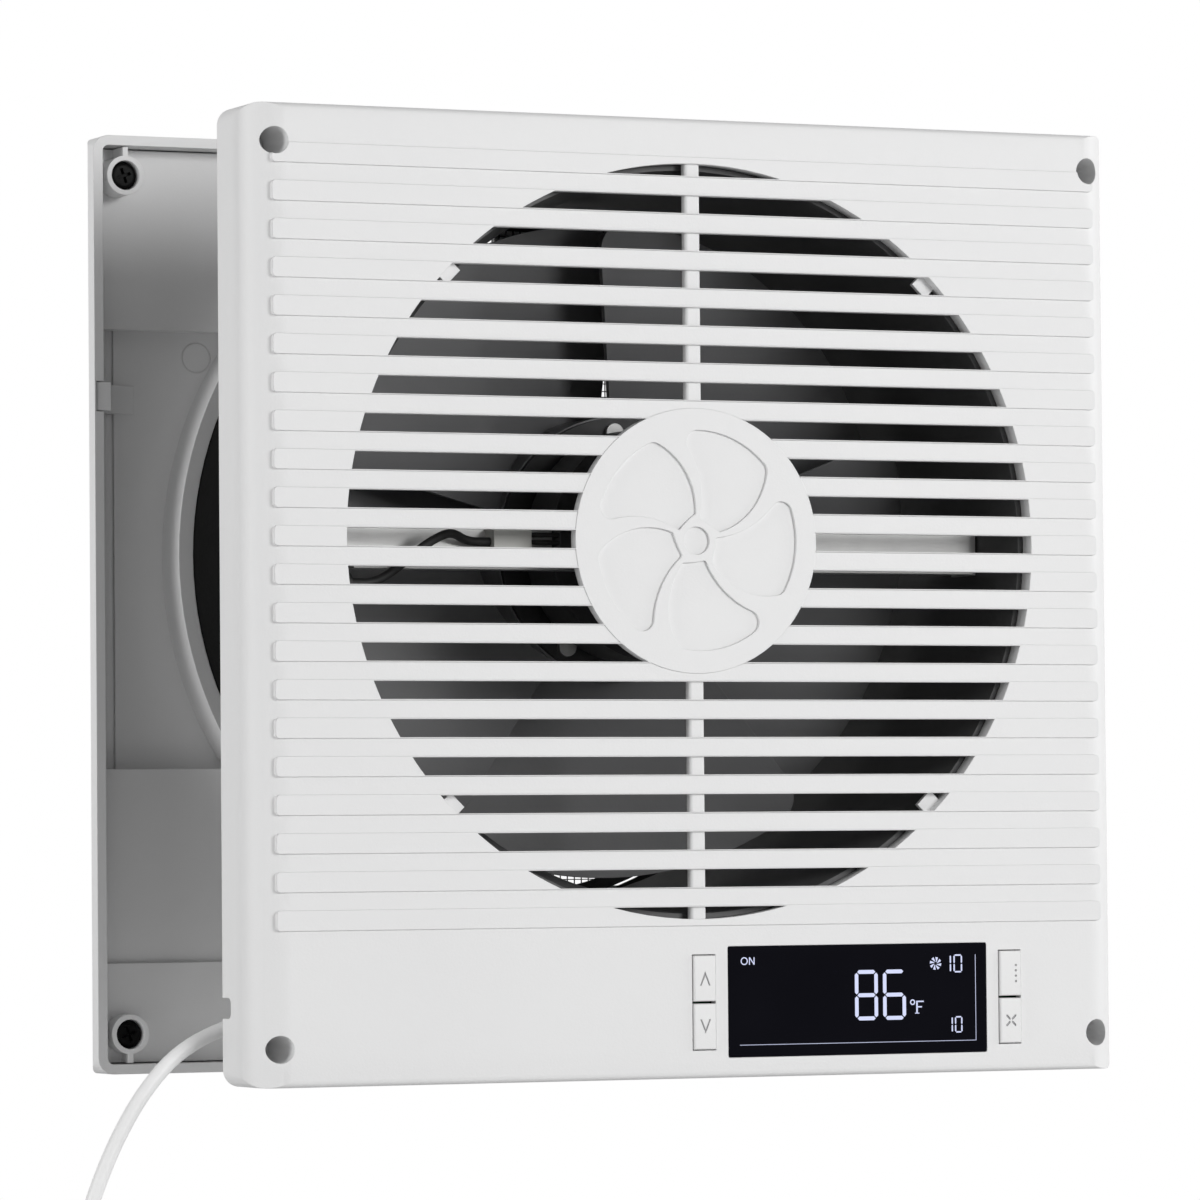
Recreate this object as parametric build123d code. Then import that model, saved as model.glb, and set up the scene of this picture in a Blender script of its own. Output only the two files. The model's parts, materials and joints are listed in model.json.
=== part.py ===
from build123d import *
import math
import os

# Room to room fan. Sizes are in millimetres and +Z is up.
# The near room is on the -Y side of the wall, and the wall itself lies at +Y.
# The origin is the centre of the front housing's four wall screws, on the plane of its rim.

# Housings
front_side = 282.0
front_depth = 23.0
front_side_round = 12.5
rear_side = 284.0
rear_depth = 20.0
rear_side_round = 18.0
rear_up = 1.8
shell_wall = 3.0
edge_round = 2.0
corner_round = 5.0
least_round = 0.5
wall_gap = 101.0

# Duct and grille
duct_up = 16.6
bar_pitch = 11.0
bar_count = 21
bar_height = 5.85
bar_rise = 0.5
front_bar_inset = 7.7
rear_bar_inset = 12.0
bar_end_round = 1.2
slot_height = 5.25
grille_radius = 111.0
cross_bar_width = 5.0
cross_bar_setback = 0.7
cross_bar_round = 1.0
badge_radius = 39.0
badge_rise = 0.25
badge_relief = 0.9
badge_petals = 5
badge_dimple = 4.1
petal_corner = 3.6
petal_tip = 0.7

# Wall screw wells and the cord notch of the front housing
well_inset_x = 9.0
well_inset_z = 11.0
well_radius = 3.95
well_wall = 2.3
well_floor = 3.0
wall_screw_radius = 2.25
notch_height = 6.0
notch_depth = 6.6
notch_round = 2.0
notch_z = -118.4

# Display
display_x = 51.65
display_z = -118.8
lens_width = 85.3
lens_height = 32.4
lens_thickness = 1.8
lens_corner = 0.6
lens_ledge = 3.4
lens_gap = 0.15
panel_gap = 0.4
panel_seat_gap = 0.1

# Buttons and their switches
lens_button_gap = 4.4
button_width = 7.0
button_height = 13.4
button_split = 0.7
button_gap = 0.3
button_rise = 0.9
button_travel = 0.8
button_round = 0.5
flange_reach = 1.0
flange_thickness = 0.8
flange_gap = 0.1
icon_depth = 0.35
icon_stroke = 0.5
switch_side = 6.0
switch_plunger_radius = 1.6
switch_plunger_height = 0.6
switch_gap = 0.1

# Circuit boards
board_thickness = 1.6
board_standoff = 4.4
board_margin = 9.95
board_height = 33.0
board_screw_inset = 3.4
board_screw_radius = 1.2
board_screw_head = 2.3
board_screw_head_height = 1.6
board_screw_bite = 3.4
post_radius = 2.7
power_x = -38.0
power_z = -119.0
power_width = 40.0
power_height = 30.0
power_standoff = 1.6
power_part_height = 7.6
ribbon_width = 6.0
ribbon_thickness = 0.6
ribbon_rise = 2.0
hole_gap = 0.1

# Frames behind the shells
frame_plate = 2.0
frame_gap = 0.4
front_steps = (85.6, -48.1, -100.0)
front_floors = (14.0, 18.0, 8.0, 6.0)
rear_steps = (85.6, -48.1, -106.9)
rear_floors = (9.5, 15.0, 8.5, 6.5)
collar_setback = 0.5
front_collar_wall = 3.3
clip_width = 6.0
clip_overlap = 2.4
clip_gap = 0.3
rear_collar_radius = 115.0
mark_place = (-103.5, 78.0)
mark_radius = 4.8
mark_line = 0.4
mark_depth = 0.25
pocket_right = -62.0
pocket_top = -106.0
pocket_floor = 16.0
tab_z = 64.5
tab_length = 8.6
tab_thickness = 1.8
tab_inset = 0.9
tab_gap = 0.3
tab_sink = 0.3
frame_screw_x = 118.0
frame_screw_high = 112.0
frame_screw_low = -80.0
frame_screw_radius = 1.5
frame_screw_head = 3.0
frame_screw_head_height = 2.0
frame_screw_bite = 3.4
frame_boss_radius = 4.0

# Corner bosses and black screws of the rear tray
rear_boss_inset_x = 10.5
rear_boss_inset_z = 12.0
rear_boss_radius = 6.0
rear_boss_setback = 0.4
rear_boss_rib = 1.6
rear_well_radius = 4.5
rear_well_depth = 4.4
rear_screw_radius = 2.0
rear_screw_head = 4.25
rear_screw_head_height = 2.7
rear_screw_bite = 3.0
rear_screw_boss = 4.5
cross_slot_length = 4.6
cross_slot_width = 0.9
cross_slot_depth = 1.3

# Telescoping sleeve and the screen at its far end
sleeve_bore = 105.7
sleeve_wall = 2.0
mouth_radius = 109.4
mouth_lip = 1.6
mouth_gap = 2.0
flare_depth = 10.0
seat_gap = 0.2
slide_gap = 0.5
front_sleeve_end = 92.0
rear_sleeve_start = 30.0
screen_gap = 0.3
screen_thickness = 0.8
screen_pitch = 13.0
screen_wire = 1.6
screen_rim = 4.0

# Motor bracket
bracket_y = 1.5
bracket_plate = 1.5
bracket_height = 16.4
bracket_lip = 6.0
bracket_end_gap = 0.3
bracket_tab = 13.0
bracket_corner = 4.0
bracket_screw_y = 9.5
bracket_screw_spread = 4.2
bracket_screw_radius = 1.9
bracket_screw_head = 3.2
bracket_screw_head_height = 1.8

# Motor
motor_radius = 35.0
motor_wall = 1.6
motor_cup_depth = 17.0
motor_cap_plate = 2.0
motor_cap_boss = 7.0
motor_cap_spigot = 1.8
motor_spigot_gap = 0.05
motor_screw_x = 24.0
motor_screw_radius = 1.9
motor_screw_head = 3.4
motor_screw_head_height = 2.0
motor_screw_bite = 4.4
motor_screw_boss = 3.6
bearing_radius = 9.0
bearing_width = 6.0
bearing_seat_wall = 2.2
bearing_seat_gap = 0.05
shaft_radius = 4.0
shaft_running_gap = 0.05
shaft_shoulder_radius = 6.5
shaft_cap_gap = 0.8
shaft_tail = 3.0
stator_bore = 20.0
stator_gap = 0.3
stator_length = 9.5
rotor_gap = 0.6
rotor_length = 6.8

# Impeller
hub_front_y = 30.0
hub_plate_thickness = 2.0
hub_plate_inset = 0.5
hub_radius = 40.0
hub_depth = 27.0
hub_wall = 2.6
hub_boss_radius = 10.0
hub_boss_length = 7.0
hub_screw_circle = 35.0
hub_screw_count = 5
hub_screw_first = 94.0
hub_screw_radius = 1.4
hub_screw_head = 2.8
hub_screw_head_height = 1.6
hub_screw_bite = 5.0
hub_bore_gap = 0.05
blade_count = 5
blade_tip = 99.0
blade_lead_angle = 93.0
blade_sweep = 82.0
blade_thickness = 2.2
blade_depth = 24.0
blade_corner = 9.0
nut_across_corners = 15.0
nut_height = 5.0

# Motor cable with its connector and grommet
cable_radius = 1.3
connector_length = 12.0
connector_height = 8.0
connector_thickness = 6.6
connector_end = -45.0
terminal_length = 5.0
terminal_reach = 6.5
lead_radius = 0.7
lead_spread = 2.2
grommet_y = -7.0
grommet_z = 4.0
grommet_radius = 3.0
grommet_flange = 4.4
grommet_flange_thickness = 1.5
grommet_gap = 0.1
cable_hole_gap = 0.6

# Mains cord, its strain relief, coil, tie and plug
cord_radius = 2.2
gland_y = -11.0
gland_z = -118.0
gland_length = 22.0
gland_root_radius = 3.9
gland_tip_radius = 2.9
gland_neck_radius = 3.0
gland_flange_radius = 4.6
gland_flange_thickness = 1.5
wire_radius = 0.8
wire_spread = 1.8
coil_radius = 31.5
coil_pitch = 5.75
coil_layers = 4
coil_half_turns = 5
coil_x = -151.0
coil_y = 9.0
coil_z = -213.0
tie_gap = 0.6
tie_thickness = 1.2
tie_width = 6.0
plug_offset = 43.0
plug_relief_length = 18.0
plug_relief_tip = 3.0
plug_relief_root = 5.2
plug_length = 27.0
plug_width = 25.0
plug_thickness = 14.5
plug_round = 4.5
plug_blade_spacing = 12.7
plug_blade_width = 6.35
plug_blade_thickness = 1.5
plug_blade_length = 17.0

# Places worked out from the sizes above
front_face = -front_depth
front_inner_face = front_face + shell_wall
rear_rim = wall_gap
rear_face = rear_rim + rear_depth
rear_inner_face = rear_face - shell_wall
front_shape = (front_side, 0.0, 0.0, front_face, front_side_round)
rear_shape = (rear_side, rear_up, rear_rim, rear_face, rear_side_round)
well_x = front_side / 2 - well_inset_x
well_z = front_side / 2 - well_inset_z
rear_boss_x = rear_side / 2 - rear_boss_inset_x
rear_boss_z = rear_side / 2 - rear_boss_inset_z
front_collar_radius = mouth_radius + mouth_lip + seat_gap + front_collar_wall
window_width = lens_width - 2 * lens_ledge
window_height = lens_height - 2 * lens_ledge
button_centre = (button_height + button_split) / 2
button_reach = lens_width / 2 + lens_button_gap + button_width / 2
left_buttons_x = display_x - button_reach
right_buttons_x = display_x + button_reach
board_width = 2 * button_reach + button_width + 2 * board_margin
flange_front = front_inner_face + flange_gap
flange_back = flange_front + flange_thickness
board_front = front_inner_face + board_standoff
board_back = board_front + board_thickness
power_front = front_inner_face + power_standoff
power_back = power_front + board_thickness
power_left = power_x - power_width / 2
power_top = power_z + power_height / 2
front_sleeve_radius = sleeve_bore + sleeve_wall
rear_sleeve_bore = front_sleeve_radius + slide_gap
rear_sleeve_radius = rear_sleeve_bore + sleeve_wall
mouth_y = front_inner_face + mouth_gap
bracket_back = bracket_y + bracket_plate
bracket_reach = math.sqrt(sleeve_bore**2 - (bracket_height / 2) ** 2) - bracket_end_gap
motor_cap_y = bracket_back + motor_cup_depth
motor_back = motor_cap_y + motor_cap_boss
motor_inside = motor_radius - motor_wall
bearing_seat_radius = bearing_radius + bearing_seat_gap
hub_plate_back = hub_front_y + hub_plate_thickness
hub_back = hub_plate_back + hub_depth
boss_back = hub_plate_back + hub_wall + hub_boss_length
duct_axis = Axis((0, 0, duct_up), (0, 1, 0))
connector_y = bracket_y - connector_thickness / 2
gland_wall_x = pocket_right - frame_plate
gland_base_x = gland_wall_x - gland_flange_thickness
cord_exit = (gland_base_x - gland_length, gland_y, gland_z)
coil_start = (coil_x - coil_radius, coil_y, coil_z + 2 * cord_radius)
motor_terminal = (power_left + 7.0, power_top - 4.0)
mains_terminal = (power_left + 8.0, gland_z)
terminal_size = (9.0, 8.0)
terminal_y = power_back + power_part_height / 2

# Route of the motor cable: power board, past the sleeve, through the grommet, to the connector
cable_route = [
    (motor_terminal[0], terminal_y, motor_terminal[1] + terminal_size[1] / 2),
    (motor_terminal[0], terminal_y, -96.0),
    (-60.0, -13.8, -87.0),
    (-72.0, -14.0, -78.5),
    (-84.5, -14.2, -69.5),
    (-95.5, -14.0, -58.0),
    (-104.0, -13.5, -45.5),
    (-112.0, -12.5, -33.0),
    (-119.5, -11.0, -21.0),
    (-125.0, -9.2, -9.5),
    (-124.0, -7.6, -0.5),
    (-119.0, grommet_y, grommet_z),
    (-95.5, grommet_y, grommet_z),
    (-88.0, -8.0, 9.0),
    (-80.0, -8.2, 15.5),
    (-71.0, -5.5, 19.4),
    (connector_end - connector_length - 7.0, connector_y, duct_up),
    (connector_end - connector_length, connector_y, duct_up),
]
riser_run = (5, 6)

# Route of the mains cord: out of the strain relief, round the rim, and down to the coil
cord_route = [
    cord_exit,
    (-100.5, gland_y, gland_z),
    (-113.0, -6.0, -118.6),
    (-125.2, 3.4, -120.4),
    (-138.5, 9.2, -124.6),
    (-151.3, 9.4, -131.0),
    (-161.6, 9.0, -141.6),
    (-169.6, 9.2, -154.4),
    (-175.9, 9.0, -168.0),
    (-180.6, 9.2, -181.6),
    (coil_start[0], coil_y, -195.0),
    coil_start,
]


def slab(outline, near, far):
    """Outline drawn in X and Z, made solid from y = near to y = far."""
    return extrude(Plane.XZ.offset(-far) * outline, far - near)


def skin(outline, face, outward, above, below):
    """Slab measured from a face: above stands out of it and below lies under it."""
    near, far = sorted((face + outward * above, face - outward * below))
    return slab(outline, near, far)


def ring(outer, inner):
    """Flat ring round the duct axis."""
    return Pos(0, duct_up) * (Circle(outer) - Circle(inner))


def turned(*points):
    """Solid of revolution round the duct axis, from points of radius and y."""
    profile = make_face(Polyline(*[(radius, y, duct_up) for radius, y in points], close=True))
    return revolve(profile, duct_axis)


def rod(start, end, radius):
    """Round bar between two points."""
    line = Line(start, end)
    return extrude(Plane(origin=start, z_dir=line % 0) * Circle(radius), line.length)


def corners(x, z, up=0.0):
    """The four corner places of a rectangle of half width x and half height z."""
    return [(side * x, up + level * z) for side in (-1, 1) for level in (-1, 1)]


def discs(places, radius):
    """Equal circles at places of X and Z."""
    return Sketch() + [Pos(*place) * Circle(radius) for place in places]


def housing_form(side, up, rim, face, side_round, flat_round=edge_round, outline_round=corner_round):
    """Solid form of a housing: round left and right edges, nearly square top and bottom."""
    low, high = sorted((rim, face))
    first, last = (0, 2) if face < rim else (2, 4)
    middle, depth = (low + high) / 2, high - low
    plan = Pos(0, middle) * Rectangle(side, depth)
    plan = fillet(plan.vertices().sort_by(Axis.Y)[first:last], side_round)
    profile = Pos(middle, up) * Rectangle(depth, side)
    profile = fillet(profile.vertices().sort_by(Axis.X)[first:last], flat_round)
    form = extrude(Plane.XY.offset(up - side / 2) * plan, side)
    form &= extrude(Plane.YZ.offset(-side / 2) * profile, side)
    return form & slab(Pos(0, up) * RectangleRounded(side, side, outline_round), low, high)


def inner_form(side, up, rim, face, side_round, inset):
    """The same form moved inwards by an inset, and open past the rim."""
    outward = 1 if face > rim else -1
    rounds = [max(size - inset, least_round) for size in (side_round, edge_round, corner_round)]
    return housing_form(side - 2 * inset, up, rim - outward, face - outward * inset, *rounds)


def spot(radius, angle):
    """Point at a radius and an angle in degrees."""
    return (radius * math.cos(math.radians(angle)), radius * math.sin(math.radians(angle)))


def petals():
    """Curled pockets of the pinwheel relief, each with large outer and small inner corners."""
    left = ThreePointArc(spot(6.4, 80), spot(18.7, 86.5), spot(32.4, 101))
    outer = ThreePointArc(spot(32.4, 101), spot(32.6, 72), spot(32.0, 43))
    right = ThreePointArc(spot(32.0, 43), spot(19.0, 25.5), spot(8.0, 19))
    inner = ThreePointArc(spot(8.0, 19), spot(6.4, 48), spot(6.4, 80))
    pocket = make_face([left, outer, right, inner])
    outer_corners = pocket.vertices().sort_by(lambda vertex: Vector(vertex).length)[2:]
    pocket = fillet(outer_corners, petal_corner)
    inner_corners = pocket.vertices().sort_by(lambda vertex: Vector(vertex).length)[:2]
    pocket = fillet(inner_corners, petal_tip)
    turns = [Rot(0, 0, 360 / badge_petals * number) * pocket for number in range(badge_petals)]
    return Pos(0, duct_up) * (Sketch() + turns)


def add_grille(cover, side, face, outward, bar_inset):
    """Raised bars from side to side, slots inside the circle, centre bar and round badge."""
    middle = (bar_count - 1) / 2
    levels = [duct_up + (number - middle) * bar_pitch for number in range(bar_count)]
    bar = RectangleRounded(side - 2 * bar_inset, bar_height, bar_end_round)
    bars = Sketch() + [Pos(0, level) * bar for level in levels]
    bars -= Pos(0, duct_up) * Circle(badge_radius)
    slot = Rectangle(2 * grille_radius, slot_height)
    slots = Sketch() + [Pos(0, level) * slot for level in levels]
    slots &= ring(grille_radius, badge_radius)
    cover += skin(bars, face, outward, bar_rise, shell_wall / 2)
    cover -= skin(slots, face, outward, bar_rise + 1, shell_wall + 1)
    strip = Pos(0, duct_up) * Rectangle(cross_bar_width, 2 * grille_radius)
    strip = skin(strip, face, outward, -cross_bar_setback, shell_wall)
    shown_edges = strip.edges().filter_by(Axis.Z).group_by(Axis.Y)[0 if outward < 0 else -1]
    cover += fillet(shown_edges, cross_bar_round)
    cover += skin(Pos(0, duct_up) * Circle(badge_radius), face, outward, badge_rise, shell_wall)
    relief = petals() + Pos(0, duct_up) * Circle(badge_dimple)
    return cover - skin(relief, face, outward, badge_rise + 1, badge_relief - badge_rise)


def tab_seats(side, rim, outward):
    """Room in the left and right rims for the frame's snap tabs."""
    reach = shell_wall - tab_inset + tab_gap + 1
    seat = Rectangle(reach, tab_length + 2 * tab_gap)
    x = side / 2 - tab_inset + tab_gap - reach / 2
    seats = Pos(x, tab_z) * seat + Pos(-x, tab_z) * seat
    return skin(seats, rim, outward, tab_sink + tab_thickness + tab_gap, 1)


def cord_notch():
    """Half slot in the rim of the left side wall, where the cord is led out."""
    outline = Pos((1 - notch_depth) / 2, notch_z) * Rectangle(notch_depth + 1, notch_height)
    outline = fillet(outline.vertices().sort_by(Axis.X)[:2], notch_round)
    return extrude(Plane.YZ.offset(-front_side / 2 - 1) * outline, shell_wall + 1.5)


def board_screw_places():
    x = board_width / 2 - board_screw_inset
    z = board_height / 2 - board_screw_inset
    return [(display_x + place[0], display_z + place[1]) for place in corners(x, z)]


def power_post_places():
    x = power_width / 2 - post_radius
    z = power_height / 2 - post_radius
    return [(power_x + place[0], power_z + place[1]) for place in corners(x, z)]


def frame_screw_places():
    """Places of the four screws that hold the front frame, with the floor depth at each."""
    levels = ((frame_screw_high, front_floors[0]), (frame_screw_low, front_floors[2]))
    return [((side * frame_screw_x, level), floor) for side in (-1, 1) for level, floor in levels]


def front_cover():
    """White shell of the near room, with everything that is moulded into it."""
    outside = housing_form(*front_shape)
    cover = outside - inner_form(*front_shape, shell_wall)
    cover = add_grille(cover, front_side, front_face, -1, front_bar_inset)
    places = corners(well_x, well_z)
    cover += slab(discs(places, well_radius + well_wall), front_face + shell_wall / 2, 0) & outside
    cover -= slab(discs(places, well_radius), front_face - 1, -well_floor)
    cover -= slab(discs(places, wall_screw_radius), -well_floor - 1, 1)
    cover -= cord_notch()
    cover -= tab_seats(front_side, 0, -1)
    lens = RectangleRounded(lens_width + 2 * lens_gap, lens_height + 2 * lens_gap, lens_corner)
    cover -= slab(Pos(display_x, display_z) * lens, front_face - 1, front_face + lens_thickness)
    windows = Pos(display_x, display_z) * Rectangle(window_width, window_height)
    height = 2 * (button_height + button_gap) + button_split
    for x in (left_buttons_x, right_buttons_x):
        windows += Pos(x, display_z) * Rectangle(button_width + 2 * button_gap, height)
    cover -= slab(windows, front_face - 1, front_inner_face + 1)
    root = front_inner_face - shell_wall / 2
    cover += slab(discs(board_screw_places(), post_radius), root, board_front)
    cover -= slab(discs(board_screw_places(), board_screw_radius), front_inner_face, board_front + 1)
    cover += slab(discs(power_post_places(), post_radius), root, power_front)
    for place, floor in frame_screw_places():
        seat = -floor - frame_plate
        cover += slab(Pos(*place) * Circle(frame_boss_radius), root, seat)
        cover -= slab(Pos(*place) * Circle(frame_screw_radius), seat - frame_screw_bite, 0)
    return cover


def frame_tray(shape, outward, steps, floors, bosses=Part()):
    """Stepped plate that fits in a shell: four floors, risers, corner bosses, two snap tabs."""
    side, up, rim = shape[:3]
    edges = [up + side / 2, *steps, up - side / 2]
    tray = Part()
    for top, bottom, floor in zip(edges, edges[1:], floors):
        band = Pos(0, (top + bottom) / 2) * Rectangle(side, top - bottom)
        tray += skin(band, rim + outward * floor, outward, frame_plate, 0)
    for step, above, below in zip(steps, floors, floors[1:]):
        middle = step + (frame_plate / 2 if above < below else -frame_plate / 2)
        shallow, deep = sorted((above, below))
        riser = Pos(0, middle) * Rectangle(side, frame_plate)
        tray += skin(riser, rim + outward * shallow, outward, deep + frame_plate - shallow, 0)
    inset = shell_wall + frame_gap
    leg = Rectangle(shape[4], tab_length)
    leg_x = (side - shape[4]) / 2
    legs = Pos(leg_x, tab_z) * leg + Pos(-leg_x, tab_z) * leg
    legs = skin(legs, rim + outward * tab_sink, outward, floors[1] + frame_plate, 0)
    tray += legs - inner_form(*shape, inset + frame_plate)
    tray = (tray + bosses) & inner_form(*shape, inset)
    wall_x = side / 2 - inset
    tab_end = side / 2 - tab_inset
    width = tab_end - wall_x + frame_plate
    tab = Rectangle(width, tab_length)
    tabs = Pos(tab_end - width / 2, tab_z) * tab + Pos(width / 2 - tab_end, tab_z) * tab
    return tray + skin(tabs, rim + outward * tab_sink, outward, tab_thickness, 0)


def cord_pocket(frame):
    """Deep corner behind the cord notch, where the strain relief stands."""
    left = -front_side / 2
    outline = Rectangle(pocket_right - left, pocket_top - left)
    outline = Pos((left + pocket_right) / 2, (left + pocket_top) / 2) * outline
    block = slab(outline, -pocket_floor - frame_plate, -front_floors[3])
    room = slab(Pos(-frame_plate, -frame_plate) * outline, -pocket_floor, 1)
    return frame + (block & inner_form(*front_shape, shell_wall + frame_gap)) - room


def front_frame():
    """Back plate of the front unit, with the collar that holds the sleeve and the cord pocket."""
    frame = cord_pocket(frame_tray(front_shape, -1, front_steps, front_floors))
    seat = front_sleeve_radius + seat_gap
    mouth = mouth_radius + mouth_lip + seat_gap
    frame -= slab(Pos(0, duct_up) * Circle(front_collar_radius - 1), front_face, 1)
    frame += turned((seat, -collar_setback), (front_collar_radius, -collar_setback),
                    (front_collar_radius, front_inner_face), (mouth, front_inner_face),
                    (mouth, mouth_y + mouth_lip - seat_gap), (seat, mouth_y + mouth_lip + flare_depth))
    frame += sleeve_clips()
    places = corners(well_x, well_z)
    frame -= slab(discs(places, well_radius + well_wall + frame_gap), front_face, 1)
    places = [place for place, _ in frame_screw_places()]
    frame -= slab(discs(places, frame_screw_radius + hole_gap), front_face, 1)
    wall_end = (pocket_right + 1, gland_y, gland_z)
    frame -= rod((gland_wall_x - 1, gland_y, gland_z), wall_end, gland_neck_radius + seat_gap / 4)
    flange_end = (pocket_right + gland_flange_thickness + seat_gap, gland_y, gland_z)
    frame -= rod((pocket_right, gland_y, gland_z), flange_end, gland_flange_radius + seat_gap)
    frame -= grommet_bore()
    ends = [cable_route[number] for number in riser_run]
    return frame - rod(*ends, cable_radius + cable_hole_gap)


def sleeve_clips():
    """Four short clips on the collar that keep the sleeve's mouth from coming forward."""
    inner, outer = mouth_radius - clip_overlap, front_collar_radius - 1
    clip = Pos((inner + outer) / 2, 0) * Rectangle(outer - inner, clip_width)
    clips = Sketch() + [Pos(0, duct_up) * Rot(0, 0, 45 + 90 * number) * clip for number in range(4)]
    return slab(clips, front_inner_face, mouth_y - clip_gap)


def grommet_bore():
    start = (-front_collar_radius - 1, grommet_y, grommet_z)
    return rod(start, (-sleeve_bore + 4, grommet_y, grommet_z), grommet_radius + grommet_gap)


def front_sleeve():
    """Inner half of the telescoping sleeve, with a flared mouth behind the grille."""
    flare_end = mouth_y + flare_depth
    sleeve = turned((sleeve_bore, front_sleeve_end), (front_sleeve_radius, front_sleeve_end),
                    (front_sleeve_radius, flare_end + mouth_lip),
                    (mouth_radius + mouth_lip, mouth_y + mouth_lip), (mouth_radius + mouth_lip, mouth_y),
                    (mouth_radius, mouth_y), (sleeve_bore, flare_end))
    for start, end in bracket_screw_lines():
        sleeve -= rod(start, (end[0] * 1.1, *end[1:]), bracket_screw_radius + hole_gap)
    return sleeve - grommet_bore()


def display_lens():
    lens = RectangleRounded(lens_width, lens_height, lens_corner)
    return slab(Pos(display_x, display_z) * lens, front_face, front_face + lens_thickness)


def lcd_panel():
    outline = Rectangle(window_width - 2 * panel_gap, window_height - 2 * panel_gap)
    return slab(Pos(display_x, display_z) * outline, front_face + lens_thickness + panel_seat_gap,
                board_front)


def control_board():
    board = Pos(display_x, display_z) * Rectangle(board_width, board_height)
    board -= discs(board_screw_places(), board_screw_radius + hole_gap)
    return slab(board, board_front, board_back)


def board_screws():
    heads = slab(discs(board_screw_places(), board_screw_head), board_back,
                 board_back + board_screw_head_height)
    return heads + slab(discs(board_screw_places(), board_screw_radius), board_back - board_screw_bite,
                        board_back)


def button_places():
    """Middle of each button, by name."""
    up, down = display_z + button_centre, display_z - button_centre
    return {"up": (left_buttons_x, up), "down": (left_buttons_x, down),
            "mode": (right_buttons_x, up), "speed": (right_buttons_x, down)}


def tact_switches():
    """One small push switch behind each button, with its short plunger."""
    plunger_front = flange_back + button_travel + switch_gap
    body_front = plunger_front + switch_plunger_height
    switches = Part()
    for place in button_places().values():
        body = Pos(*place) * Rectangle(switch_side, switch_side)
        switches += slab(body, body_front, board_front)
        switches += slab(Pos(*place) * Circle(switch_plunger_radius), plunger_front, body_front)
    return switches


def chevron(direction):
    """Open arrow head that points up (1) or down (-1)."""
    half, tall, inner = 1.7, 4.2, 1.35
    points = [(-half, -tall / 2), (0, tall / 2), (half, -tall / 2), (half - icon_stroke, -tall / 2),
              (0, tall / 2 - inner), (icon_stroke - half, -tall / 2)]
    return make_face(Polyline(*[(x, direction * z) for x, z in points], close=True))


def icon(name):
    """Engraving of each button: arrows, a row of dots, and a small fan."""
    if name == "up":
        return chevron(1)
    if name == "down":
        return chevron(-1)
    if name == "mode":
        return Sketch() + [Pos(1.7, level) * Circle(0.35) for level in (-2.4, -0.8, 0.8, 2.4)]
    petal = Pos(1.35, 0) * SlotOverall(1.9, 0.65)
    return Sketch() + [Rot(0, 0, 45 + 90 * number) * petal for number in range(4)]


def button(name):
    """Push button: a cap in the shell's window and a flange that stops behind it."""
    x, z = button_places()[name]
    cap = Pos(x, z) * Rectangle(button_width, button_height)
    cap = slab(cap, front_face - button_rise, flange_front)
    cap = fillet(cap.edges().group_by(Axis.Y)[0], button_round)
    outer = 1 if z > display_z else -1
    flange = Rectangle(button_width + 2 * flange_reach, button_height + flange_reach)
    cap += slab(Pos(x, z + outer * flange_reach / 2) * flange, flange_front, flange_back)
    return cap - slab(Pos(x, z) * icon(name), front_face - button_rise - 1,
                      front_face - button_rise + icon_depth)


def power_board():
    return slab(Pos(power_x, power_z) * Rectangle(power_width, power_height), power_front, power_back)


def power_parts():
    """Two terminal blocks, a transformer, a relay and a capacitor on the power board."""
    blocks = [(motor_terminal, terminal_size), (mains_terminal, terminal_size),
              ((power_x + 9.5, power_top - 9.0), (15.0, 14.0)),
              ((power_x - 9.0, power_z - 10.0), (14.0, 7.0))]
    outlines = [Pos(*place) * Rectangle(*size) for place, size in blocks]
    outlines.append(Pos(power_x + 10.0, power_z - 8.0) * Circle(4.5))
    return slab(Sketch() + outlines, power_back, power_back + power_part_height)


def board_link():
    """Flat ribbon that joins the two boards."""
    left, right = power_x + power_width / 2 - 2.0, display_x - board_width / 2 + 4.5
    top = board_back + ribbon_rise
    low = top - ribbon_thickness
    points = [(left, power_back), (left, top), (right, top), (right, board_back),
              (right - ribbon_thickness, board_back), (right - ribbon_thickness, low),
              (left + ribbon_thickness, low), (left + ribbon_thickness, power_back)]
    outline = make_face(Polyline(*points, close=True))
    return extrude(Plane.XY.offset(display_z - ribbon_width / 2) * outline, ribbon_width)


def frame_screws():
    screws = Part()
    for place, floor in frame_screw_places():
        screws += slab(Pos(*place) * Circle(frame_screw_head), -floor, frame_screw_head_height - floor)
        screws += slab(Pos(*place) * Circle(frame_screw_radius),
                       -floor - frame_plate - frame_screw_bite, -floor)
    return screws


def bracket_screw_lines():
    """Line of each bracket screw, from under its head to its end in the sleeve."""
    head, end = bracket_reach - bracket_plate, front_sleeve_radius - bracket_end_gap
    return [((side * head, bracket_screw_y, duct_up + level), (side * end, bracket_screw_y, duct_up + level))
            for side in (-1, 1) for level in (-bracket_screw_spread, bracket_screw_spread)]


def bracket_screws():
    screws = Part()
    for start, end in bracket_screw_lines():
        screws += rod(start, end, bracket_screw_radius)
        head_x = start[0] - math.copysign(bracket_screw_head_height, start[0])
        screws += rod((head_x, *start[1:]), start, bracket_screw_head)
    return screws


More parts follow.
